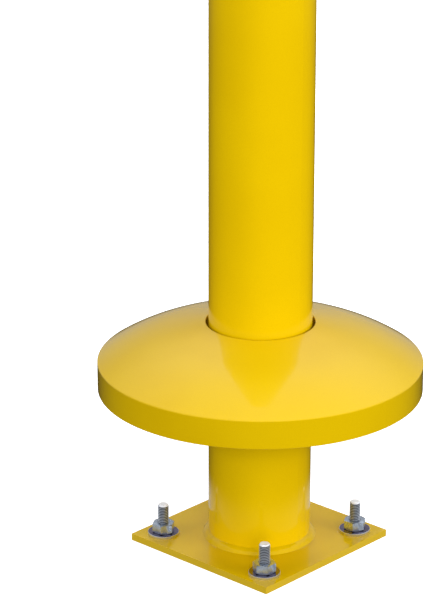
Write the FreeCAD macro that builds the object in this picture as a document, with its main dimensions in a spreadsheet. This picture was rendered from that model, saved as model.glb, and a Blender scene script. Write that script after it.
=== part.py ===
"""Steel safety bollard: a capped pipe post welded to a square plate, held down by four wedge
anchors, with a domed cover that slides down the post and hides the plate and the anchors.

Millimetres, +Z up. The origin is the centre of the plate's underside, which is the floor.
"""
import FreeCAD, Part
import math
import os

import Sketcher

# ---------------------------------------------------------------- driving dimensions

SIZES = {
    # post: 4 inch pipe, schedule 40
    "post_dia": 114.3,
    "post_wall": 6.02,
    "post_height": 914.4,
    "post_edge_break": 1.0,
    # base plate and the weld that joins the post to it
    "plate_side": 203.2,
    "plate_thickness": 7.94,
    "plate_hole_clearance": 3.2,
    "anchor_edge_distance": 25.4,
    "weld_leg": 6.35,
    "weld_face_radius": 12.0,
    # sliding cover: one spun steel dome with a vertical rim
    "cover_dia": 358.8,
    "cover_height": 76.7,
    "cover_rim": 31.8,
    "cover_gauge": 2.66,
    "cover_gap": 3.05,
    "cover_cone_share": 0.7,
    "cover_curved_width": 71.5,
    "cover_shoulder_radius": 1.4,
    "cover_edge_radius": 0.7,
    "cover_lift": 185.0,
    # moulded cap in the post's top
    "cap_flange": 4.0,
    "cap_rise": 9.0,
    "cap_edge_radius": 1.5,
    "cap_depth": 26.0,
    "cap_wall": 3.0,
    "cap_clearance": 0.35,
    "cap_rib_height": 1.2,
    "cap_rib_width": 2.4,
    "cap_rib_pitch": 6.5,
    # wedge anchors: the thread, tip, neck, cone and clip are set in from the shank
    "anchor_dia": 12.7,
    "anchor_length": 108.0,
    "anchor_above_plate": 36.0,
    "thread_inset": 0.18,
    "thread_length": 57.0,
    "tip_inset": 1.45,
    "tip_height": 1.7,
    "neck_inset": 1.45,
    "neck_length": 15.0,
    "cone_inset": 0.25,
    "cone_length": 9.0,
    "cone_land": 3.0,
    "cone_chamfer": 1.2,
    "clip_inset": 0.2,
    "clip_length": 13.0,
    "clip_slot": 2.6,
    "fastener_clearance": 0.05,
    "washer_dia": 34.9,
    "washer_hole_clearance": 1.6,
    "washer_thickness": 2.8,
    "washer_edge_radius": 0.5,
    "nut_across_flats": 22.2,
    "nut_height": 11.1,
    "nut_chamfer_inset": 0.4,
    "nut_chamfer_angle": 30.0,
    # how far each nut has come round when it is tight, in degrees
    "nut_turn_front": 30.0,
    "nut_turn_right": 0.0,
    "nut_turn_back": 51.0,
    "nut_turn_left": 0.5,
}

# each anchor's name and the plate corner it stands at, as signs along X and Y
ANCHORS = {"front": (1, -1), "right": (1, 1), "back": (-1, 1), "left": (-1, -1)}

CAP_RIBS = 3          # ribs round the cap's skirt
FULL_TURN = 360       # degrees
CUTTER_MARGIN = 1.0   # mm that a cutting ring reaches past the metal
SAME_PLACE = 0.01     # mm within which two points are one

doc = FreeCAD.newDocument("bollard")
sheet = doc.addObject("Spreadsheet::Sheet", "Sizes")
for row, (alias, value) in enumerate(SIZES.items(), start=1):
    sheet.set(f"A{row}", alias)
    sheet.set(f"B{row}", str(value))
    sheet.setAlias(f"B{row}", alias)
doc.recompute()

# places that several pieces share, as expressions on the sheet
POST_R = "Sizes.post_dia / 2"
BORE_R = "(Sizes.post_dia / 2 - Sizes.post_wall)"
PLATE_TOP = "Sizes.plate_thickness"
ANCHOR_OFFSET = "(Sizes.plate_side / 2 - Sizes.anchor_edge_distance)"
ANCHOR_R = "Sizes.anchor_dia / 2"
THREAD_R = "(Sizes.anchor_dia / 2 - Sizes.thread_inset)"
NECK_R = "(Sizes.anchor_dia / 2 - Sizes.neck_inset)"
NUT_CORNER_R = "Sizes.nut_across_flats / 2 / cos(30)"
NUT_SEAT = "(Sizes.plate_thickness + Sizes.washer_thickness)"


# ---------------------------------------------------------------- drawing helpers

def new_body(label):
    """An empty body whose label is the piece's name."""
    body = doc.addObject("PartDesign::Body", label)
    body.Label = label
    return body


def new_sketch(body, name, plane):
    """A sketch on one of the body's own origin planes."""
    sketch = body.newObject("Sketcher::SketchObject", name)
    origin_plane = [f for f in body.Origin.OriginFeatures if f.Role == plane][0]
    sketch.AttachmentSupport = [(origin_plane, "")]
    sketch.MapMode = "FlatFace"
    return sketch


def bind(sketch, kind, where, name, expression):
    """Add a driving constraint and tie its value to the sheet."""
    value = sketch.evalExpression(expression)
    index = sketch.addConstraint(Sketcher.Constraint(kind, *where, value))
    sketch.renameConstraint(index, name)
    sketch.setExpression(f"Constraints.{name}", expression)


def bind_point(sketch, edge, end, name, x, y):
    """Tie one end of an edge to a place measured from the sketch's origin."""
    bind(sketch, "DistanceX", (-1, 1, edge, end), name + "_x", x)
    bind(sketch, "DistanceY", (-1, 1, edge, end), name + "_y", y)


def outline(body, name, corners, plane="XZ_Plane"):
    """A closed sketch of straight edges. Each corner is a pair of expressions."""
    sketch = new_sketch(body, name, plane)
    spots = [FreeCAD.Vector(*(sketch.evalExpression(e) for e in corner), 0) for corner in corners]
    for start, end in zip(spots, spots[1:] + spots[:1]):
        sketch.addGeometry(Part.LineSegment(start, end), False)
    count = len(corners)
    for edge in range(count):
        sketch.addConstraint(Sketcher.Constraint("Coincident", edge, 2, (edge + 1) % count, 1))
    for edge, (x, y) in enumerate(corners):
        bind_point(sketch, edge, 1, f"corner_{edge}", x, y)
    return sketch


def circles(body, name, plane, *spec):
    """A sketch of circles. Each one is an x, a y and a radius, all expressions."""
    sketch = new_sketch(body, name, plane)
    for index, (x, y, radius) in enumerate(spec):
        centre = FreeCAD.Vector(sketch.evalExpression(x), sketch.evalExpression(y), 0)
        circle = Part.Circle(centre, FreeCAD.Vector(0, 0, 1), sketch.evalExpression(radius))
        sketch.addGeometry(circle, False)
        bind(sketch, "Radius", (index,), f"radius_{index}", radius)
        bind_point(sketch, index, 3, f"centre_{index}", x, y)
    return sketch


def pad(body, sketch, length):
    """Raise a sketch along +Z."""
    feature = body.newObject("PartDesign::Pad", sketch.Name + "_pad")
    feature.Profile = sketch
    feature.setExpression("Length", length)
    return feature


def revolve(body, sketch, kind="Revolution"):
    """Turn a sketch right round the body's Z axis, adding or (Groove) removing metal."""
    feature = body.newObject("PartDesign::" + kind, sketch.Name + "_turned")
    feature.Profile = sketch
    feature.ReferenceAxis = (sketch, ["V_Axis"])
    feature.Angle = FULL_TURN
    return feature


def drill(body, sketch):
    """Cut a sketch's circles right through, both ways."""
    before = body.Tip.Shape.Volume
    feature = body.newObject("PartDesign::Pocket", sketch.Name + "_cut")
    feature.Profile = sketch
    feature.Type = "ThroughAll"
    feature.Midplane = True
    doc.recompute()
    require(feature.Shape.Volume < before, f"{feature.Name} cuts nothing")
    return feature


def require(condition, message):
    """Stop with a message when the model isn't what it should be."""
    if not condition:
        raise RuntimeError(message)


def dress(body, kind, size_name, size, chosen):
    """Fillet or chamfer the circular edges whose (radius, height) is in chosen."""
    doc.recompute()
    base = body.Tip
    places = [tuple(base.evalExpression(e) for e in pair) for pair in chosen]
    names = []
    for index, edge in enumerate(base.Shape.Edges, start=1):
        if not edge.Degenerated and isinstance(edge.Curve, Part.Circle):
            here = (edge.Curve.Radius, edge.Curve.Center.z)
            if any(math.dist(here, place) < SAME_PLACE for place in places):
                names.append(f"Edge{index}")
    require(len(names) == len(places), f"{body.Label}: {len(names)} edges to dress, not {len(places)}")
    feature = body.newObject("PartDesign::" + kind, f"{body.Name}_{kind}")
    feature.Base = (base, names)
    feature.setExpression(size_name, size)
    return feature


# ---------------------------------------------------------------- post and base

def make_base_plate():
    """Square steel plate with an anchor hole near each corner."""
    body = new_body("base_plate")
    half = "Sizes.plate_side / 2"
    square = outline(body, "plate_outline", [
        ("-" + half, "-" + half), (half, "-" + half), (half, half), ("-" + half, half),
    ], "XY_Plane")
    pad(body, square, PLATE_TOP)
    doc.recompute()
    hole_r = f"{ANCHOR_R} + Sizes.plate_hole_clearance / 2"
    hole = drill(body, circles(body, "plate_hole", "XY_Plane", (ANCHOR_OFFSET, ANCHOR_OFFSET, hole_r)))
    pattern = body.newObject("PartDesign::PolarPattern", "plate_holes")
    pattern.Originals = [hole]
    pattern.Axis = ([f for f in body.Origin.OriginFeatures if f.Role == "Z_Axis"][0], [""])
    pattern.Angle = FULL_TURN
    pattern.Occurrences = len(ANCHORS)
    body.Tip = pattern


def make_post_tube():
    """Pipe standing on the plate, open at the top, with its edges broken."""
    body = new_body("post_tube")
    ring = circles(body, "tube_ring", "XY_Plane", ("0", "0", POST_R), ("0", "0", BORE_R))
    length = "Sizes.post_height - Sizes.plate_thickness"
    pad(body, ring, length)
    dress(body, "Chamfer", "Size", "Sizes.post_edge_break", [(POST_R, length)])
    body.setExpression("Placement.Base.z", PLATE_TOP)


def make_base_weld():
    """Fillet weld all round the foot of the post, its face slightly raised."""
    body = new_body("base_weld")
    sketch = new_sketch(body, "weld_section", "XZ_Plane")
    post = sketch.evalExpression(POST_R)
    leg = sketch.evalExpression("Sizes.weld_leg")
    radius = sketch.evalExpression("Sizes.weld_face_radius")
    root = FreeCAD.Vector(post, 0, 0)
    toe = FreeCAD.Vector(post + leg, 0, 0)
    top = FreeCAD.Vector(post, leg, 0)
    middle = (toe + top) / 2
    outward = FreeCAD.Vector(1, 1, 0).normalize()
    half_chord = (toe - top).Length / 2
    sagitta = radius - math.sqrt(radius**2 - half_chord**2)
    sketch.addGeometry(Part.LineSegment(root, toe), False)
    sketch.addGeometry(Part.Arc(toe, middle + outward * sagitta, top), False)
    sketch.addGeometry(Part.LineSegment(top, root), False)
    sketch.addConstraint(Sketcher.Constraint("Coincident", 0, 2, 1, 1))
    sketch.addConstraint(Sketcher.Constraint("Coincident", 1, 2, 2, 1))
    sketch.addConstraint(Sketcher.Constraint("Coincident", 2, 2, 0, 1))
    bind_point(sketch, 0, 1, "root", POST_R, "0")
    bind_point(sketch, 0, 2, "toe", POST_R + " + Sizes.weld_leg", "0")
    bind_point(sketch, 2, 1, "top", POST_R, "Sizes.weld_leg")
    bind(sketch, "Radius", (1,), "face", "Sizes.weld_face_radius")
    revolve(body, sketch)
    body.setExpression("Placement.Base.z", PLATE_TOP)


# ---------------------------------------------------------------- sliding cover

def make_cover():
    """Spun dome of even wall: a gentle cone from the post hole, a curve that steepens towards
    the shoulder, and a vertical rim. Drawn with its rim's lower edge at height 0."""
    body = new_body("sliding_cover")
    hole_r = "(Sizes.post_dia / 2 + Sizes.cover_gap)"
    rim_r = "Sizes.cover_dia / 2"
    wall = "Sizes.cover_gauge"
    drop = "(Sizes.cover_height - Sizes.cover_rim)"
    curve_start = f"({rim_r} - Sizes.cover_curved_width)"
    cone_run = f"({curve_start} - {hole_r})"
    cone_drop = f"Sizes.cover_cone_share * {drop} * {cone_run} / ({rim_r} - {hole_r})"

    sketch = new_sketch(body, "cover_section", "XZ_Plane")

    def spot(x, y):
        return FreeCAD.Vector(sketch.evalExpression(x), sketch.evalExpression(y), 0)

    crest = spot(hole_r, "Sizes.cover_height")
    bend = spot(curve_start, f"Sizes.cover_height - {cone_drop}")
    shoulder = spot(rim_r, "Sizes.cover_rim")
    gauge = sketch.evalExpression(wall)
    along = (bend - crest).normalize()
    inward = FreeCAD.Vector(along.y, -along.x, 0)
    chord = shoulder - bend
    radius = chord.Length**2 / (2 * chord.dot(inward))
    centre = bend + inward * radius
    inner_bend = bend + inward * gauge
    inner_crest = crest + inward * gauge + along * (gauge * math.tan(math.asin(-along.y)))
    reach = shoulder.x - gauge - centre.x
    inner_shoulder = centre + FreeCAD.Vector(reach, math.sqrt((radius - gauge)**2 - reach**2), 0)

    def arc(start, end, size):
        half = ((start + end) / 2 - centre).normalize()
        return Part.Arc(start, centre + half * size, end)

    outer_foot = FreeCAD.Vector(shoulder.x, 0, 0)
    inner_foot = FreeCAD.Vector(shoulder.x - gauge, 0, 0)
    cone, curve, rim, foot, inner_rim, inner_curve, inner_cone, hole = range(8)
    sketch.addGeometry(Part.LineSegment(crest, bend), False)
    sketch.addGeometry(arc(bend, shoulder, radius), False)
    sketch.addGeometry(Part.LineSegment(shoulder, outer_foot), False)
    sketch.addGeometry(Part.LineSegment(outer_foot, inner_foot), False)
    sketch.addGeometry(Part.LineSegment(inner_foot, inner_shoulder), False)
    sketch.addGeometry(arc(inner_shoulder, inner_bend, radius - gauge), False)
    sketch.addGeometry(Part.LineSegment(inner_bend, inner_crest), False)
    sketch.addGeometry(Part.LineSegment(inner_crest, crest), False)

    # an arc made from three points runs anticlockwise, so its two ends are read back
    def end_at(edge, point):
        first = sketch.getPoint(edge, 1)
        return 1 if (first - point).Length < SAME_PLACE else 2

    def join(edge_a, edge_b, point, kind="Coincident"):
        ends = (edge_a, end_at(edge_a, point), edge_b, end_at(edge_b, point))
        sketch.addConstraint(Sketcher.Constraint(kind, *ends))

    join(cone, curve, bend, "Tangent")
    join(curve, rim, shoulder)
    join(rim, foot, outer_foot)
    join(foot, inner_rim, inner_foot)
    join(inner_rim, inner_curve, inner_shoulder)
    join(inner_curve, inner_cone, inner_bend, "Tangent")
    join(inner_cone, hole, inner_crest)
    join(hole, cone, crest)
    for upright in (rim, inner_rim, hole):
        sketch.addConstraint(Sketcher.Constraint("Vertical", upright))
    sketch.addConstraint(Sketcher.Constraint("Horizontal", foot))
    sketch.addConstraint(Sketcher.Constraint("Coincident", curve, 3, inner_curve, 3))
    bind_point(sketch, cone, 1, "crest", hole_r, "Sizes.cover_height")
    bind_point(sketch, cone, 2, "bend", curve_start, f"Sizes.cover_height - {cone_drop}")
    bind_point(sketch, rim, 1, "shoulder", rim_r, "Sizes.cover_rim")
    bind(sketch, "DistanceY", (-1, 1, foot, 1), "foot_height", "0")
    bind(sketch, "DistanceX", (foot, 2, foot, 1), "rim_wall", wall)
    bind(sketch, "Distance", (inner_cone, 1, cone), "dome_wall", wall)
    revolve(body, sketch)
    dress(body, "Fillet", "Radius", "Sizes.cover_shoulder_radius", [(rim_r, "Sizes.cover_rim")])
    edges = [(hole_r, "Sizes.cover_height"), (rim_r, "0"), (f"{rim_r} - {wall}", "0")]
    dress(body, "Fillet", "Radius", "Sizes.cover_edge_radius", edges)
    body.setExpression("Placement.Base.z", "Sizes.cover_lift")


# ---------------------------------------------------------------- post cap

def make_post_cap():
    """Moulded plug: a low domed head the width of the post, and a ribbed skirt that pushes into
    the pipe. Drawn with its seat, which rests on the pipe's end, at height 0."""
    body = new_body("post_cap")
    sketch = new_sketch(body, "cap_section", "XZ_Plane")
    plug_r = f"({BORE_R} - Sizes.cap_clearance - Sizes.cap_rib_height)"
    hollow_r = f"({plug_r} - Sizes.cap_wall)"
    crown = "(Sizes.cap_flange + Sizes.cap_rise)"
    corners = [
        ("0", "0"), (hollow_r, "0"), (hollow_r, "-Sizes.cap_depth"), (plug_r, "-Sizes.cap_depth"),
        (plug_r, "0"), (POST_R, "0"), (POST_R, "Sizes.cap_flange"),
    ]
    spots = [FreeCAD.Vector(*(sketch.evalExpression(e) for e in corner), 0) for corner in corners]
    for start, end in zip(spots, spots[1:]):
        sketch.addGeometry(Part.LineSegment(start, end), False)
    brim = spots[-1]
    apex = FreeCAD.Vector(0, sketch.evalExpression(crown), 0)
    rise = apex.y - brim.y
    radius = (brim.x**2 + rise**2) / (2 * rise)
    centre = FreeCAD.Vector(0, apex.y - radius, 0)
    halfway = ((apex + brim) / 2 - centre).normalize()
    dome = sketch.addGeometry(Part.Arc(brim, centre + halfway * radius, apex), False)
    axis = sketch.addGeometry(Part.LineSegment(apex, spots[0]), False)
    for edge in range(len(corners) - 2):
        sketch.addConstraint(Sketcher.Constraint("Coincident", edge, 2, edge + 1, 1))
    sketch.addConstraint(Sketcher.Constraint("Coincident", dome - 1, 2, dome, 1))
    sketch.addConstraint(Sketcher.Constraint("Coincident", dome, 2, axis, 1))
    sketch.addConstraint(Sketcher.Constraint("Coincident", axis, 2, 0, 1))
    for edge, (x, y) in enumerate(corners[:-1]):
        bind_point(sketch, edge, 1, f"corner_{edge}", x, y)
    bind_point(sketch, dome - 1, 2, "brim", *corners[-1])
    bind_point(sketch, axis, 1, "apex", "0", crown)
    bind(sketch, "DistanceX", (-1, 1, dome, 3), "dome_centre", "0")
    revolve(body, sketch)
    dress(body, "Fillet", "Radius", "Sizes.cap_edge_radius", [(POST_R, "Sizes.cap_flange")])

    rib_top = "-Sizes.cap_rib_pitch"
    rib = outline(body, "cap_rib", [
        (f"{plug_r} - Sizes.cap_wall / 2", rib_top),
        (plug_r, rib_top),
        (f"{plug_r} + Sizes.cap_rib_height", f"{rib_top} - Sizes.cap_rib_width / 2"),
        (plug_r, f"{rib_top} - Sizes.cap_rib_width"),
        (f"{plug_r} - Sizes.cap_wall / 2", f"{rib_top} - Sizes.cap_rib_width"),
    ])
    turned = revolve(body, rib)
    doc.recompute()
    ribs = body.newObject("PartDesign::LinearPattern", "cap_ribs")
    ribs.Originals = [turned]
    ribs.Direction = ([f for f in body.Origin.OriginFeatures if f.Role == "Z_Axis"][0], [""])
    ribs.Reversed = True
    ribs.Occurrences = CAP_RIBS
    ribs.setExpression("Length", f"Sizes.cap_rib_pitch * {CAP_RIBS - 1}")
    body.Tip = ribs
    body.setExpression("Placement.Base.z", "Sizes.post_height")


# ---------------------------------------------------------------- anchors

def stand_at(body, corner, height, turn=None):
    """Put a fastener at its plate corner, at a height, turned about its own axis."""
    # a first turn about Z sets the axis that the sheet's angle then works on
    upright = FreeCAD.Rotation(FreeCAD.Vector(0, 0, 1), 1)
    body.Placement = FreeCAD.Placement(FreeCAD.Vector(1, 1, 1), upright)
    for axis, sign in zip("xy", corner):
        body.setExpression(f"Placement.Base.{axis}", f"{sign} * {ANCHOR_OFFSET}")
    body.setExpression("Placement.Base.z", height)
    body.setExpression("Placement.Rotation.Angle", turn or "0")


def make_anchor_stud(where, corner):
    """Wedge anchor's bolt, drawn from its lower end up: expander cone, necked part under the
    clip, full-size shank, thread drawn as its outside cylinder, and the tapered tip."""
    body = new_body(f"anchor_stud_{where}")
    cone_r = f"({ANCHOR_R} - Sizes.cone_inset)"
    tip_r = f"({ANCHOR_R} - Sizes.tip_inset)"
    top = "Sizes.anchor_length"
    cone_top = "(Sizes.cone_land + Sizes.cone_length)"
    neck_top = f"({cone_top} + Sizes.neck_length)"
    shank_top = f"({top} - Sizes.thread_length)"
    tip_foot = f"({top} - Sizes.tip_height)"
    section = outline(body, f"stud_section_{where}", [
        ("0", "0"), (f"{cone_r} - Sizes.cone_chamfer", "0"), (cone_r, "Sizes.cone_chamfer"),
        (cone_r, "Sizes.cone_land"), (NECK_R, cone_top), (NECK_R, neck_top),
        (ANCHOR_R, neck_top), (ANCHOR_R, shank_top), (THREAD_R, shank_top),
        (THREAD_R, tip_foot), (tip_r, top), ("0", top),
    ])
    revolve(body, section)
    stand_at(body, corner, f"{PLATE_TOP} + Sizes.anchor_above_plate - {top}")


def make_expansion_clip(where, corner):
    """Split sleeve round the neck, which the cone spreads against the drilled hole."""
    body = new_body(f"expansion_clip_{where}")
    outside_r = f"{ANCHOR_R} - Sizes.clip_inset"
    inside_r = f"{NECK_R} + Sizes.fastener_clearance"
    ring = circles(body, f"clip_ring_{where}", "XY_Plane", ("0", "0", outside_r), ("0", "0", inside_r))
    pad(body, ring, "Sizes.clip_length")
    doc.recompute()
    slot_half = "Sizes.clip_slot / 2"
    reach = "Sizes.anchor_dia"
    slot = outline(body, f"clip_slot_{where}", [
        ("0", "-" + slot_half), (reach, "-" + slot_half), (reach, slot_half), ("0", slot_half),
    ], "XY_Plane")
    drill(body, slot)
    sleeve_foot = "Sizes.cone_land + Sizes.cone_length + (Sizes.neck_length - Sizes.clip_length)"
    foot = f"{PLATE_TOP} + Sizes.anchor_above_plate - Sizes.anchor_length + {sleeve_foot}"
    stand_at(body, corner, foot)


def make_flat_washer(where, corner):
    """Stamped washer on the plate, its upper outer edge rounded."""
    body = new_body(f"flat_washer_{where}")
    rim = ("0", "0", "Sizes.washer_dia / 2")
    hole = ("0", "0", f"{ANCHOR_R} + Sizes.washer_hole_clearance / 2")
    ring = circles(body, f"washer_ring_{where}", "XY_Plane", rim, hole)
    pad(body, ring, "Sizes.washer_thickness")
    edge = [("Sizes.washer_dia / 2", "Sizes.washer_thickness")]
    dress(body, "Fillet", "Radius", "Sizes.washer_edge_radius", edge)
    stand_at(body, corner, PLATE_TOP)


def make_hex_nut(where, corner):
    """Hexagon nut with the corners of both faces chamfered."""
    body = new_body(f"hex_nut_{where}")
    prism = body.newObject("PartDesign::AdditivePrism", f"nut_hexagon_{where}")
    prism.Polygon = 6
    prism.setExpression("Circumradius", NUT_CORNER_R)
    prism.setExpression("Height", "Sizes.nut_height")
    doc.recompute()
    bore_r = f"{THREAD_R} + Sizes.fastener_clearance"
    drill(body, circles(body, f"nut_bore_{where}", "XY_Plane", ("0", "0", bore_r)))
    flat_r = "(Sizes.nut_across_flats / 2 - Sizes.nut_chamfer_inset)"
    outer_r = f"({NUT_CORNER_R} + {CUTTER_MARGIN})"
    fall = f"({outer_r} - {flat_r}) * tan(Sizes.nut_chamfer_angle)"
    for side, face, inward in (("top", "Sizes.nut_height", "-"), ("bottom", "0", "+")):
        ring = outline(body, f"nut_{side}_{where}", [
            (flat_r, face), (outer_r, face), (outer_r, f"{face} {inward} {fall}"),
        ])
        before = body.Tip.Shape.Volume
        groove = revolve(body, ring, "Groove")
        doc.recompute()
        require(groove.Shape.Volume < before, f"{groove.Name} cuts nothing")
    stand_at(body, corner, NUT_SEAT, f"Sizes.nut_turn_{where}")


# ---------------------------------------------------------------- build, check and write

make_base_plate()
make_post_tube()
make_base_weld()
make_cover()
make_post_cap()
for where, corner in ANCHORS.items():
    make_anchor_stud(where, corner)
    make_expansion_clip(where, corner)
    make_flat_washer(where, corner)
    make_hex_nut(where, corner)
doc.recompute()

for item in doc.Objects:
    bad = [word for word in item.State if word in ("Invalid", "Error")]
    require(not bad, f"{item.Label} is {item.State}")

pieces = [item for item in doc.Objects if item.TypeId == "PartDesign::Body"]
for piece in pieces:
    shape = piece.Shape
    require(not shape.isNull() and shape.isValid(), f"{piece.Label} has a bad shape")
    require(len(shape.Solids) == 1, f"{piece.Label} has {len(shape.Solids)} solids")

os.makedirs("parts", exist_ok=True)
for piece in pieces:
    piece.Shape.exportStep(f"parts/{piece.Label}.step")
    box = piece.Shape.optimalBoundingBox(True, False)
    print(f"{piece.Label:24s} {piece.Shape.Volume:12.1f} mm3  z {box.ZMin:8.2f} to {box.ZMax:8.2f}")
print(len(pieces), "pieces")
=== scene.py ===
import math

import bpy
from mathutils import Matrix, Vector


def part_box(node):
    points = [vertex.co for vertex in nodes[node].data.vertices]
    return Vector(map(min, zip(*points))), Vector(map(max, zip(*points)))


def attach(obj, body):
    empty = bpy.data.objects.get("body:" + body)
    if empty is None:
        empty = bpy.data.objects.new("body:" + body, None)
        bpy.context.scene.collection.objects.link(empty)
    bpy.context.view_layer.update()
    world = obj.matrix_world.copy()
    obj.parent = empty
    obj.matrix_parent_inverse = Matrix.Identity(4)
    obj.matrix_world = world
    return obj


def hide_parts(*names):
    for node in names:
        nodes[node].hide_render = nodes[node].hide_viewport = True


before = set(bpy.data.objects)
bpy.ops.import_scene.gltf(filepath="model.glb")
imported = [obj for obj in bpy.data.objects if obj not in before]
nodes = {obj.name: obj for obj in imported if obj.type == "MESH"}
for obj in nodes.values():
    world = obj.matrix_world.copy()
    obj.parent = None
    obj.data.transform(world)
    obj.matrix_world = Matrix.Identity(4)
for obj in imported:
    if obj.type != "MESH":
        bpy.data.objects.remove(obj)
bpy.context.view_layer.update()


# ---------------------------------------------------------------- base plate
# Square of 8 mm steel plate, drilled near each corner for its anchors and powder coated yellow
# together with the post. The coat rounds the sheared edges a little and gathers in soft clouds.

MM = 0.001


def pick(piece):
    """Select one piece alone and make it active."""
    bpy.ops.object.select_all(action="DESELECT")
    piece.select_set(True)
    bpy.context.view_layer.objects.active = piece


def work(piece, kind, **settings):
    """Add one modifier to a piece, set it and apply it."""
    pick(piece)
    step = piece.modifiers.new(kind, kind)
    for name, value in settings.items():
        setattr(step, name, value)
    bpy.ops.object.modifier_apply(modifier=step.name)


def carve(piece, tool, operation="DIFFERENCE"):
    """Cut a piece with a tool, or keep or add what they share, and throw the tool away."""
    work(piece, "BOOLEAN", object=tool, operation=operation, solver="EXACT")
    bpy.data.objects.remove(tool)


def soften(piece, radius, segments, angle):
    """Round a piece's sharp edges, and keep its flat faces looking flat."""
    work(piece, "BEVEL", width=radius, segments=segments, limit_method="ANGLE", angle_limit=angle)
    bpy.ops.object.shade_smooth_by_angle(angle=angle)
    work(piece, "WEIGHTED_NORMAL", keep_sharp=True)


class Wire:
    """A socket in a finish. An expression on wires adds the Math nodes that work it out."""

    def __init__(self, finish, socket):
        self.finish = finish
        self.socket = socket

    def __add__(self, other):
        return self.finish.sum("ADD", self, other)

    def __sub__(self, other):
        return self.finish.sum("SUBTRACT", self, other)

    def __rsub__(self, other):
        return self.finish.sum("SUBTRACT", other, self)

    def __mul__(self, other):
        return self.finish.sum("MULTIPLY", self, other)

    __radd__ = __add__
    __rmul__ = __mul__


class Finish:
    """A material grown round one Principled shader, with what never varies set on its sockets."""

    def __init__(self, name, **fixed):
        self.material = bpy.data.materials.new(name)
        self.material.use_nodes = True
        self.tree = self.material.node_tree
        self.shader = self.tree.nodes["Principled BSDF"]
        for socket, value in fixed.items():
            self.shader.inputs[socket.replace("_", " ")].default_value = value
        self.place = self.node("ShaderNodeTexCoord", output="Object")

    def node(self, kind, settings=None, sockets=None, output=0):
        """Add a node: its settings first, then a value or a wire for each socket named."""
        made = self.tree.nodes.new(kind)
        for name, value in (settings or {}).items():
            setattr(made, name, value)
        for name, value in (sockets or {}).items():
            if isinstance(value, Wire):
                self.tree.links.new(value.socket, made.inputs[name])
            else:
                made.inputs[name].default_value = value
        return Wire(self, made.outputs[output])

    def sum(self, operation, first, second):
        return self.node("ShaderNodeMath", {"operation": operation}, {0: first, 1: second})

    def grain(self, per_metre, detail=2.0, stretch=(1, 1, 1)):
        """Soft noise about 0.5, with so many lumps to the metre. A small stretch draws it out."""
        spread = self.node("ShaderNodeMapping", sockets={"Vector": self.place, "Scale": stretch})
        sockets = {"Vector": spread, "Scale": per_metre, "Detail": detail}
        return self.node("ShaderNodeTexNoise", sockets=sockets)

    def patches(self, wire, low, high):
        """0 below low and 1 above high, with a soft step between."""
        sockets = {"Value": wire, "From Min": low, "From Max": high}
        return self.node("ShaderNodeMapRange", {"interpolation_type": "SMOOTHSTEP"}, sockets)

    def blend(self, share, first, second):
        sockets = {0: share, 6: first, 7: second}
        return self.node("ShaderNodeMix", {"data_type": "RGBA"}, sockets, 2)

    def distance_from(self, axis, place=None):
        """How far each point lies from an upright axis."""
        offset = self.vector("SUBTRACT", place or self.place, axis)
        flat = self.vector("MULTIPLY", offset, (1, 1, 0))
        return self.node("ShaderNodeVectorMath", {"operation": "LENGTH"}, {0: flat}, "Value")

    def vector(self, operation, first, second=(0, 0, 0)):
        return self.node("ShaderNodeVectorMath", {"operation": operation}, {0: first, 1: second})

    def folded(self):
        """Object coordinates with all four corners folded onto one."""
        return self.vector("ABSOLUTE", self.place)

    def feed(self, socket, wire):
        self.tree.links.new(wire.socket, self.shader.inputs[socket])

    def relief(self, height, depth):
        """Raise the surface by a height from 0 to 1, times a depth in metres."""
        sockets = {"Height": height, "Distance": depth}
        self.feed("Normal", self.node("ShaderNodeBump", sockets=sockets))


def powder_coat(name, gloss, peel, clouds, painted_shade_tone=1.0, rings=0.0):
    """Glossy polyester powder coat: soft clouds where the film is thicker, the powder's own fine
    grain, the low, even waves of orange peel, and rings about the axis on spun steel. A shade tone
    below 1 darkens the whole colour evenly: painted shade for parts that sit in less light."""
    coat = Finish(name, Coat_Roughness=0.03, Coat_IOR=1.5, Specular_Tint=(1, 0.7, 0.04, 1))
    film = coat.grain(clouds, 3.0)
    powder = coat.grain(1100, 2.0)
    cloudy = coat.patches(film, 0.38, 0.66)
    # both yellows are scaled by the tone, so a tone below 1 paints shade into the coat's colour
    light = tuple(painted_shade_tone * part for part in YELLOW[:3]) + (1,)
    deep = tuple(painted_shade_tone * part for part in DEEP_YELLOW[:3]) + (1,)
    body = coat.blend(cloudy * 0.3, light, deep)
    coat.feed("Base Color", coat.blend(coat.patches(powder, 0.35, 0.7) * 0.3, body, deep))
    coat.feed("Roughness", 0.05 + 0.05 * film + 0.04 * powder)
    coat.feed("Coat Weight", gloss - 0.1 * cloudy)
    height = coat.grain(260, 1.0) + 0.35 * powder
    if rings:
        spin = {"W": coat.distance_from((0, 0, 0)), "Scale": 150, "Detail": 1.0}
        height = height + rings * coat.node("ShaderNodeTexNoise", {"noise_dimensions": "1D"}, spin)
    coat.relief(height, peel)
    return coat.material


YELLOW = (0.81, 0.535, 0.001, 1)
DEEP_YELLOW = (0.68, 0.415, 0.0005, 1)
ANCHOR_TURNS = {"front": 30.0, "right": 0.0, "back": 51.0, "left": 0.5}
PLATE_HOLE_R = 7.95 * MM
PLATE_EDGE = 0.7 * MM
DRILL_DEPTH = 40 * MM
HOLE_SIDES = 48

plate_low, plate_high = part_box("base_plate")
plate_size = plate_high - plate_low
bpy.ops.object.select_all(action="DESELECT")
bpy.ops.mesh.primitive_cube_add(size=1, location=(plate_low + plate_high) / 2, scale=plate_size)
plate = bpy.context.object
plate.name = "drilled_plate"
bpy.ops.object.transform_apply(location=True, rotation=False, scale=True)

corners = {}
for where in ANCHOR_TURNS:
    low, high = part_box(f"anchor_stud_{where}")
    corners[where] = (low + high) / 2
    bpy.ops.object.select_all(action="DESELECT")
    bpy.ops.mesh.primitive_cylinder_add(
        vertices=HOLE_SIDES, radius=PLATE_HOLE_R, depth=DRILL_DEPTH,
        location=(corners[where].x, corners[where].y, plate_high.z / 2),
    )
    carve(plate, bpy.context.object)
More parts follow.
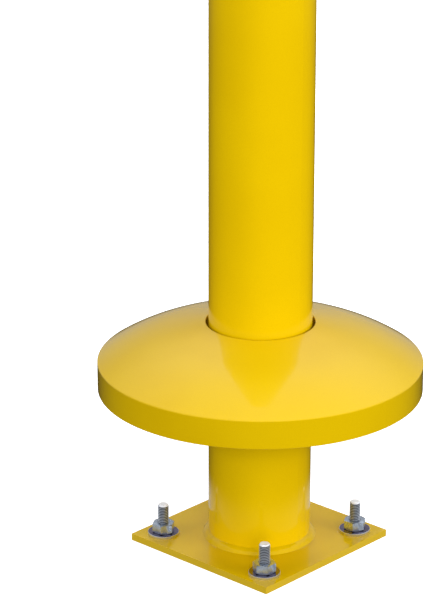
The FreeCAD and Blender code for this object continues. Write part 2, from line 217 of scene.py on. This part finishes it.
# the edges come out rounded by about 0.15 mm, less than PLATE_EDGE asks for
soften(plate, PLATE_EDGE, segments=3, angle=math.radians(40))
# the plate and the weld get a darker yellow than the post: painted shade for the shade under the
# cover
shaded_base_yellow = powder_coat("shaded_base_yellow", gloss=0.36, peel=0.00002, clouds=9, painted_shade_tone=0.85)
plate.data.materials.append(shaded_base_yellow)
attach(plate, "post")
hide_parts("base_plate")


# ---------------------------------------------------------------- weld
# Fillet weld run all round the foot of the post. Its face is a little raised and ripples where
# the welder moved on, and the powder coat over it smooths its toes into the post and the plate.

DOUBLES = 0.01 * MM


def turned(name, section, steps, closed=False):
    """Turn a section of (radius, height) points round the Z axis, as on a lathe.
    A section that isn't closed starts and ends on the axis."""
    radius, height = section[0]
    bpy.ops.object.select_all(action="DESELECT")
    bpy.ops.mesh.primitive_plane_add(size=MM, location=(radius, 0, height))
    piece = bpy.context.object
    piece.name = name
    piece.data.name = name
    bpy.ops.object.transform_apply(location=True, rotation=False, scale=False)
    bpy.ops.object.mode_set(mode="EDIT")
    bpy.ops.mesh.select_all(action="SELECT")
    bpy.ops.mesh.merge(type="CENTER")
    for (r0, z0), (r1, z1) in zip(section, section[1:]):
        bpy.ops.mesh.extrude_region_move(TRANSFORM_OT_translate={"value": (r1 - r0, 0, z1 - z0)})
    if closed:
        r1, z1 = section[-1]
        back = (radius - r1, 0, height - z1)
        bpy.ops.mesh.extrude_region_move(TRANSFORM_OT_translate={"value": back})
    bpy.ops.mesh.select_all(action="SELECT")
    bpy.ops.mesh.remove_doubles(threshold=DOUBLES)
    bpy.ops.mesh.select_all(action="SELECT")
    bpy.ops.mesh.spin(steps=steps, angle=math.tau, center=(0, 0, 0), axis=(0, 0, 1))
    bpy.ops.mesh.select_all(action="SELECT")
    bpy.ops.mesh.remove_doubles(threshold=DOUBLES)
    bpy.ops.mesh.normals_make_consistent(inside=False)
    bpy.ops.object.mode_set(mode="OBJECT")
    return piece


weld_low, weld_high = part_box("base_weld")
weld_foot = weld_low.z
post_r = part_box("post_tube")[1].x
weld_leg = weld_high.x - post_r
WELD_BULGE = 0.85 * MM
WELD_FACE_POINTS = 7
BEAD_STEPS = 360
TOE_SPREAD = 0.9 * MM
TOE_RISE = 0.5 * MM
SINK = 0.4 * MM
RIPPLE_LENGTH = 7 * MM
RIPPLE_HEIGHT = 0.5 * MM

section = [(post_r - SINK, weld_foot - SINK), (post_r + weld_leg + TOE_SPREAD, weld_foot - SINK)]
for point in range(WELD_FACE_POINTS):
    share = point / (WELD_FACE_POINTS - 1)
    raised = WELD_BULGE * math.sin(math.pi * share) / math.sqrt(2)
    section.append((post_r + weld_leg * (1 - share) + raised,
                    weld_foot + weld_leg * share + raised))
section.append((post_r - SINK, weld_foot + weld_leg + TOE_RISE))
bead = turned("weld_bead", section, BEAD_STEPS, closed=True)
ripple = bpy.data.textures.new("weld_ripple", "CLOUDS")
ripple.noise_scale = RIPPLE_LENGTH
ripple.noise_depth = 1
work(bead, "DISPLACE", texture=ripple, strength=RIPPLE_HEIGHT, mid_level=0.5,
     texture_coords="LOCAL")
pick(bead)
bpy.ops.object.shade_smooth()
# the bead takes the plate's darker yellow, painted shade from the cover above it
bead.data.materials.append(shaded_base_yellow)
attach(bead, "post")
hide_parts("base_weld")


# ---------------------------------------------------------------- post and cap
# Welded steel pipe, painted glossy yellow, and the moulded black plug that is pushed into its
# open top to keep the rain out. The plug has the fine, even texture of its mould.

def paint(node, material):
    """Give a CAD node its finish."""
    nodes[node].material_slots[0].material = material


paint("post_tube", powder_coat("post_yellow", gloss=0.22, peel=0.00003, clouds=6))

BLACK = (0.012, 0.012, 0.013, 1)
SCUFFED = (0.035, 0.035, 0.036, 1)
moulded = Finish("moulded_black")
stipple = moulded.grain(900, 2.0)
handling = moulded.grain(45, 4.0)
scuffs = moulded.patches(handling, 0.45, 0.75)
moulded.feed("Base Color", moulded.blend(scuffs * 0.5, BLACK, SCUFFED))
moulded.feed("Roughness", 0.42 + 0.16 * handling)
moulded.relief(stipple, 0.00008)
paint("post_cap", moulded.material)


# ---------------------------------------------------------------- anchors below the floor
# Zinc-plated wedge anchor bolts, rolled with a half inch coarse thread, and the split steel clip
# that each one's cone spreads in its drilled hole. Only the threaded ends show above the plate.

def zinc(name, bright, dull, low_gloss, streak, metallic=1.0):
    """Bright zinc plate: a bluish white metal, clouded where the passivation is thicker."""
    plating = Finish(name, Metallic=metallic)
    cloud = plating.grain(160, 3.0)
    fine = plating.grain(1500, 2.0, streak)
    clouded = plating.patches(cloud, 0.4, 0.68)
    body = plating.blend(clouded * 0.45, bright, dull)
    plating.body = plating.blend(plating.patches(fine, 0.5, 0.75) * 0.3, body, dull)
    plating.dullness = low_gloss + 0.12 * cloud + 0.08 * fine
    plating.feed("Base Color", plating.body)
    plating.feed("Roughness", plating.dullness)
    plating.relief(fine + 0.4 * cloud, 0.000005)
    return plating


stud_low, stud_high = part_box("anchor_stud_front")
PITCH = 1.954 * MM
THREAD_R = 6.17 * MM
THREAD_DEPTH = 1.2 * MM
FLANK = THREAD_DEPTH * math.tan(math.radians(30))
CREST = PITCH / 8
ROOT = PITCH - CREST - 2 * FLANK
SHANK_R = 6.35 * MM
NECK_R = 4.9 * MM
TIP_R = 4.9 * MM
TIP_HEIGHT = 1.7 * MM
THREAD_LENGTH = 57 * MM
THREAD_STEPS = 36
ROUND_STEPS = 72
CUT_DOUBLES = 0.002 * MM
CONE_INSET = 0.25 * MM
CONE_CHAMFER = 1.2 * MM
CONE_STRAIGHT = 3 * MM
CONE_LENGTH = 12 * MM
NECK_END = 27 * MM
SHOULDER = 0.3 * MM

# one turn of thread, wound up the bolt, squared off at both ends and chamfered at the tip
root_r = THREAD_R - THREAD_DEPTH
thread_foot = stud_high.z - THREAD_LENGTH
wind_foot = thread_foot - 3 * PITCH
turns = math.ceil((stud_high.z - wind_foot) / PITCH) + 2
bpy.ops.object.select_all(action="DESELECT")
bpy.ops.mesh.primitive_plane_add(size=MM, location=(root_r, 0, wind_foot))
pattern_stud = bpy.context.object
pattern_stud.name = "pattern_stud"
bpy.ops.object.transform_apply(location=True, rotation=False, scale=False)
bpy.ops.object.mode_set(mode="EDIT")
bpy.ops.mesh.select_all(action="SELECT")
bpy.ops.mesh.merge(type="CENTER")
for out, rise in ((0, ROOT), (THREAD_DEPTH, FLANK), (0, CREST), (-THREAD_DEPTH, FLANK)):
    bpy.ops.mesh.extrude_region_move(TRANSFORM_OT_translate={"value": (out, 0, rise)})
bpy.ops.object.mode_set(mode="OBJECT")
work(pattern_stud, "SCREW", angle=math.tau, screw_offset=PITCH, iterations=turns,
     steps=THREAD_STEPS, render_steps=THREAD_STEPS, axis="Z", use_merge_vertices=True,
     merge_threshold=DOUBLES)
pick(pattern_stud)
bpy.ops.object.mode_set(mode="EDIT")
for height, side in ((thread_foot - MM, -1), (stud_high.z + 0.05 * MM, 1)):
    bpy.ops.mesh.select_all(action="SELECT")
    bpy.ops.mesh.bisect(plane_co=(0, 0, height), plane_no=(0, 0, side), use_fill=True,
                        clear_outer=True)
bpy.ops.mesh.select_all(action="SELECT")
bpy.ops.mesh.remove_doubles(threshold=CUT_DOUBLES)
bpy.ops.mesh.normals_make_consistent(inside=False)
bpy.ops.object.mode_set(mode="OBJECT")
stock_foot = thread_foot - 2 * MM
stock_r = THREAD_R + 0.1 * MM
carve(pattern_stud, turned("stock", [
    (0, stock_foot), (stock_r, stock_foot), (stock_r, stud_high.z - TIP_HEIGHT),
    (TIP_R, stud_high.z), (0, stud_high.z),
], ROUND_STEPS), "INTERSECT")

# the plain lower part: expander cone, neck and full-size shank
cone_r = SHANK_R - CONE_INSET
foot = stud_low.z
carve(pattern_stud, turned("shank", [
    (0, foot), (cone_r - CONE_CHAMFER, foot), (cone_r, foot + CONE_CHAMFER),
    (cone_r, foot + CONE_STRAIGHT), (NECK_R, foot + CONE_LENGTH), (NECK_R, foot + NECK_END),
    (SHANK_R, foot + NECK_END), (SHANK_R, thread_foot - SHOULDER), (THREAD_R, thread_foot),
    (0, thread_foot),
], ROUND_STEPS), "UNION")
pick(pattern_stud)
bpy.ops.object.shade_smooth_by_angle(angle=math.radians(28))
pattern_stud.data.materials.clear()

# oil and painted shade darken the roots of the thread, and the sheared end is bare and bright
STUD_METAL = 0.8
OIL_AND_SHADE = (0.05, 0.055, 0.07, 1)
BARE = (0.96, 0.97, 1.0, 1)
SHEAR_LOW = 1.9 * MM
SHEAR_TOP = 1.5 * MM
OIL_AND_SHADE_DEPTH = 0.35 * MM
CREST_WEAR = 0.1 * MM
stud_zinc = zinc("stud_zinc", bright=(0.84, 0.90, 1.0, 1), dull=(0.60, 0.64, 0.73, 1),
                 low_gloss=0.2, streak=(1, 1, 1), metallic=STUD_METAL)
inset = abs(corners["front"].x)
anchor_axis = (inset, inset, 0)
axis_distance = stud_zinc.distance_from(anchor_axis, stud_zinc.folded())
height = stud_zinc.node("ShaderNodeSeparateXYZ", sockets={"Vector": stud_zinc.place}, output="Z")
sheared = stud_zinc.patches(height, stud_high.z - SHEAR_LOW, stud_high.z - SHEAR_TOP)
crests = stud_zinc.patches(axis_distance, root_r + OIL_AND_SHADE_DEPTH, THREAD_R - CREST_WEAR)
oiled_and_shaded = (1 - crests) * (1 - sheared)
plated = stud_zinc.blend(oiled_and_shaded * 0.9, stud_zinc.body, OIL_AND_SHADE)
stud_zinc.feed("Base Color", stud_zinc.blend(sheared, plated, BARE))
stud_zinc.feed("Roughness", stud_zinc.dullness + 0.15 * oiled_and_shaded + 0.3 * sheared)
stud_zinc.feed("Metallic", STUD_METAL - 0.6 * sheared)
pattern_stud.data.materials.append(stud_zinc.material)


def stand(pattern, name, corner, turn, node):
    """One more of a fastener, at its corner: a copy with its own mesh that replaces a node."""
    piece = pattern.copy()
    piece.data = pattern.data.copy()
    piece.name = name
    piece.data.name = name
    bpy.context.scene.collection.objects.link(piece)
    piece.location = (corner.x, corner.y, 0)
    piece.rotation_euler.z = math.radians(turn)
    pick(piece)
    bpy.ops.object.transform_apply(location=True, rotation=True, scale=False)
    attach(piece, "post")
    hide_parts(node)
    return piece


THREAD_STARTS = {"front": 0, "right": 130, "back": 215, "left": 70}
clip_steel = zinc("clip_steel", bright=(0.46, 0.47, 0.49, 1), dull=(0.25, 0.25, 0.27, 1),
                  low_gloss=0.3, streak=(1, 1, 0.1))
for where, start in THREAD_STARTS.items():
    stand(pattern_stud, f"threaded_stud_{where}", corners[where], start,
          f"anchor_stud_{where}")
    paint(f"expansion_clip_{where}", clip_steel.material)
bpy.data.objects.remove(pattern_stud)


# ---------------------------------------------------------------- washers
# Stamped steel washers, bright zinc plated with a dark violet passivation that has worn off their
# rims. Their smooth upper faces mirror the nuts that are tightened on them.

WORN = (0.86, 0.88, 0.94, 1)
washer_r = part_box("flat_washer_front")[1].x - corners["front"].x
RIM_WEAR = 0.7 * MM
RIM_BARE = 0.2 * MM
washer_zinc = zinc("washer_zinc", bright=(0.27, 0.23, 0.33, 1), dull=(0.13, 0.10, 0.17, 1),
                   low_gloss=0.1, streak=(1, 1, 1))
reach = washer_zinc.distance_from(anchor_axis, washer_zinc.folded())
worn = washer_zinc.patches(reach, washer_r - RIM_WEAR, washer_r - RIM_BARE)
washer_zinc.feed("Base Color", washer_zinc.blend(worn, washer_zinc.body, WORN))
washer_zinc.feed("Roughness", washer_zinc.dullness + 0.25 * worn)
for where in ANCHOR_TURNS:
    paint(f"flat_washer_{where}", washer_zinc.material)


# ---------------------------------------------------------------- nuts
# Cold-formed hexagon nuts, zinc plated. Both faces are chamfered at the corners, and the tapped
# hole is countersunk. Tumbling rounds a real nut's edges a little, but these come out sharp.

nut_low, nut_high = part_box("hex_nut_front")
nut_height = nut_high.z - nut_low.z
NUT_FLAT_R = 11.1 * MM
CHAMFER_INSET = 0.4 * MM
NUT_CORNER_R = NUT_FLAT_R / math.cos(math.radians(30))
NUT_FACE_R = NUT_FLAT_R - CHAMFER_INSET
BORE_R = 6.22 * MM
SINK_R = 6.9 * MM
REACH = 3 * MM
NUT_EDGE = 0.3 * MM
NUT_CHAMFER = math.radians(30)
BLANK_STEPS = 96

bpy.ops.object.select_all(action="DESELECT")
bpy.ops.mesh.primitive_cylinder_add(vertices=6, radius=NUT_CORNER_R, depth=nut_height,
                                    location=(0, 0, (nut_low.z + nut_high.z) / 2),
                                    rotation=(0, 0, math.radians(30)))
pattern_nut = bpy.context.object
pattern_nut.name = "pattern_nut"
bpy.ops.object.transform_apply(location=True, rotation=True, scale=False)
fall = REACH * math.tan(NUT_CHAMFER)
carve(pattern_nut, turned("nut_blank", [
    (0, nut_low.z), (NUT_FACE_R, nut_low.z), (NUT_FACE_R + REACH, nut_low.z + fall),
    (NUT_FACE_R + REACH, nut_high.z - fall), (NUT_FACE_R, nut_high.z), (0, nut_high.z),
], BLANK_STEPS), "INTERSECT")
sink = SINK_R - BORE_R
past = MM
carve(pattern_nut, turned("tap", [
    (0, nut_low.z - past), (SINK_R + past, nut_low.z - past), (SINK_R, nut_low.z),
    (BORE_R, nut_low.z + sink), (BORE_R, nut_high.z - sink), (SINK_R, nut_high.z),
    (SINK_R + past, nut_high.z + past), (0, nut_high.z + past),
], ROUND_STEPS))
# the bevel's own clamp takes its width away here: it rounds nothing and adds faces with no area
soften(pattern_nut, NUT_EDGE, segments=2, angle=math.radians(35))
pattern_nut.data.materials.clear()
nut_zinc = zinc("nut_zinc", bright=(0.60, 0.68, 0.80, 1), dull=(0.34, 0.39, 0.47, 1),
                low_gloss=0.18, streak=(1, 1, 0.15), metallic=0.92)
pattern_nut.data.materials.append(nut_zinc.material)
for where, turn in ANCHOR_TURNS.items():
    stand(pattern_nut, f"tightened_nut_{where}", corners[where], turn,
          f"hex_nut_{where}")
bpy.data.objects.remove(pattern_nut)


# ---------------------------------------------------------------- sliding cover
# One-piece spun steel dome, powder coated like the post, which slides down over the plate and
# its anchors. Faint rings from the spinning roller show under the coat in a raking light.

# the cover's yellow is a darker copy of the post's coat: painted shade
shaded_cover_yellow = powder_coat("shaded_cover_yellow", gloss=0.65, peel=0.00004, clouds=7, painted_shade_tone=0.89, rings=0.5)
paint("sliding_cover", shaded_cover_yellow)


# ---------------------------------------------------------------- studio
# Plain pale floor and four broad soft lights, weakest at the left. Nothing mirrors the floor or the
# lights: shiny surfaces mirror the room and a white card instead.

FLOOR_SIZE = 60
FLOOR_GLOW = 0.7
FLOOR_TONES = (0.86, 0.86, 0.86, 1), (0.90, 0.90, 0.90, 1)
CARD_R = 0.22
CARD_FADE = 0.15
CARD_HEIGHT = 0.2 * MM
CARD_SIDES = 64

bpy.ops.object.select_all(action="DESELECT")
bpy.ops.mesh.primitive_plane_add(size=FLOOR_SIZE, location=(0, 0, 0))
floor = bpy.context.object
floor.name = "studio_floor"
pale = Finish("pale_floor", Roughness=0.8, Emission_Color=(1, 1, 1, 1),
              Emission_Strength=FLOOR_GLOW)
pale.feed("Base Color", pale.blend(pale.grain(3, 2.0), *FLOOR_TONES))
floor.data.materials.append(pale.material)
floor.visible_glossy = False
floor.visible_diffuse = False

# a white card lies round the plate, seen only as what the plated steel mirrors
bpy.ops.object.select_all(action="DESELECT")
bpy.ops.mesh.primitive_circle_add(vertices=CARD_SIDES, radius=CARD_R, fill_type="NGON",
                                  location=(0, 0, CARD_HEIGHT))
card = bpy.context.object
card.name = "reflector_card"
white = Finish("card_white", Base_Color=(0, 0, 0, 1), Emission_Strength=0.5)
faded = white.patches(white.distance_from((0, 0, 0)), CARD_FADE, CARD_R)
white.feed("Emission Color", white.blend(faded, (0.9, 0.95, 1, 1), (0, 0, 0, 1)))
card.data.materials.append(white.material)
card.visible_camera = False
card.visible_diffuse = False
card.visible_shadow = False


def softbox(name, azimuth, elevation, distance, watts):
    """A square light aimed at the bollard's lower half. Azimuth 0 is at -Y, and 90 at +X."""
    data = bpy.data.lights.new(name, "AREA")
    data.size = SOFTBOX_SIZE
    data.energy = watts
    lamp = bpy.data.objects.new(name, data)
    bpy.context.scene.collection.objects.link(lamp)
    a, e = math.radians(azimuth), math.radians(elevation)
    away = Vector((math.sin(a) * math.cos(e), -math.cos(a) * math.cos(e), math.sin(e)))
    lamp.location = AIM + away * distance
    lamp.rotation_euler = (-away).to_track_quat("-Z", "Y").to_euler()
    lamp.visible_camera = False
    lamp.visible_glossy = False


AIM = Vector((0, 0, 0.3))
SOFTBOX_SIZE = 1.4
softbox("front_light", azimuth=50, elevation=14, distance=3.2, watts=52)
softbox("right_light", azimuth=105, elevation=16, distance=3.0, watts=43)
softbox("left_light", azimuth=-18, elevation=14, distance=3.3, watts=28)
softbox("back_light", azimuth=222, elevation=18, distance=3.2, watts=66)

# the room: a dim floor, pale walls and a bright ceiling, and white where the camera sees it
BACKDROP = 1.15
DIM_TO_PALE = (-0.28, -0.08, 0.02, 0.36)
PALE_TO_BRIGHT = (0.35, 0.85, 0, 0.75)
world = bpy.data.worlds.new("studio_surround")
world.use_nodes = True
bpy.context.scene.world = world
room = world.node_tree
background = room.nodes["Background"]
background.inputs["Color"].default_value = (0.95, 0.97, 1, 1)
direction = room.nodes.new("ShaderNodeTexCoord")
split = room.nodes.new("ShaderNodeSeparateXYZ")
room.links.new(direction.outputs["Generated"], split.inputs["Vector"])
both = room.nodes.new("ShaderNodeMath")
for part, span in enumerate((DIM_TO_PALE, PALE_TO_BRIGHT)):
    band = room.nodes.new("ShaderNodeMapRange")
    band.interpolation_type = "SMOOTHSTEP"
    for socket, value in zip(("From Min", "From Max", "To Min", "To Max"), span):
        band.inputs[socket].default_value = value
    room.links.new(split.outputs["Z"], band.inputs["Value"])
    room.links.new(band.outputs["Result"], both.inputs[part])
ray = room.nodes.new("ShaderNodeLightPath")
seen = room.nodes.new("ShaderNodeMix")
seen.inputs["B"].default_value = BACKDROP
room.links.new(ray.outputs["Is Camera Ray"], seen.inputs["Factor"])
room.links.new(both.outputs["Value"], seen.inputs["A"])
room.links.new(seen.outputs["Result"], background.inputs["Strength"])
bpy.context.scene.view_settings.view_transform = "Standard"


# ---------------------------------------------------------------- camera
# A long lens, 2.8 m from the post, which looks down at it by 20 degrees.

lens = bpy.data.cameras.new("camera")
lens.lens = 162.5
lens.sensor_width = 36
lens.clip_end = 100
camera = bpy.data.objects.new("camera", lens)
bpy.context.scene.collection.objects.link(camera)
camera.location = (1.8517, -2.0710, 1.2999)
camera.rotation_euler = (math.radians(69.94), 0, math.radians(42.872))
bpy.context.scene.camera = camera
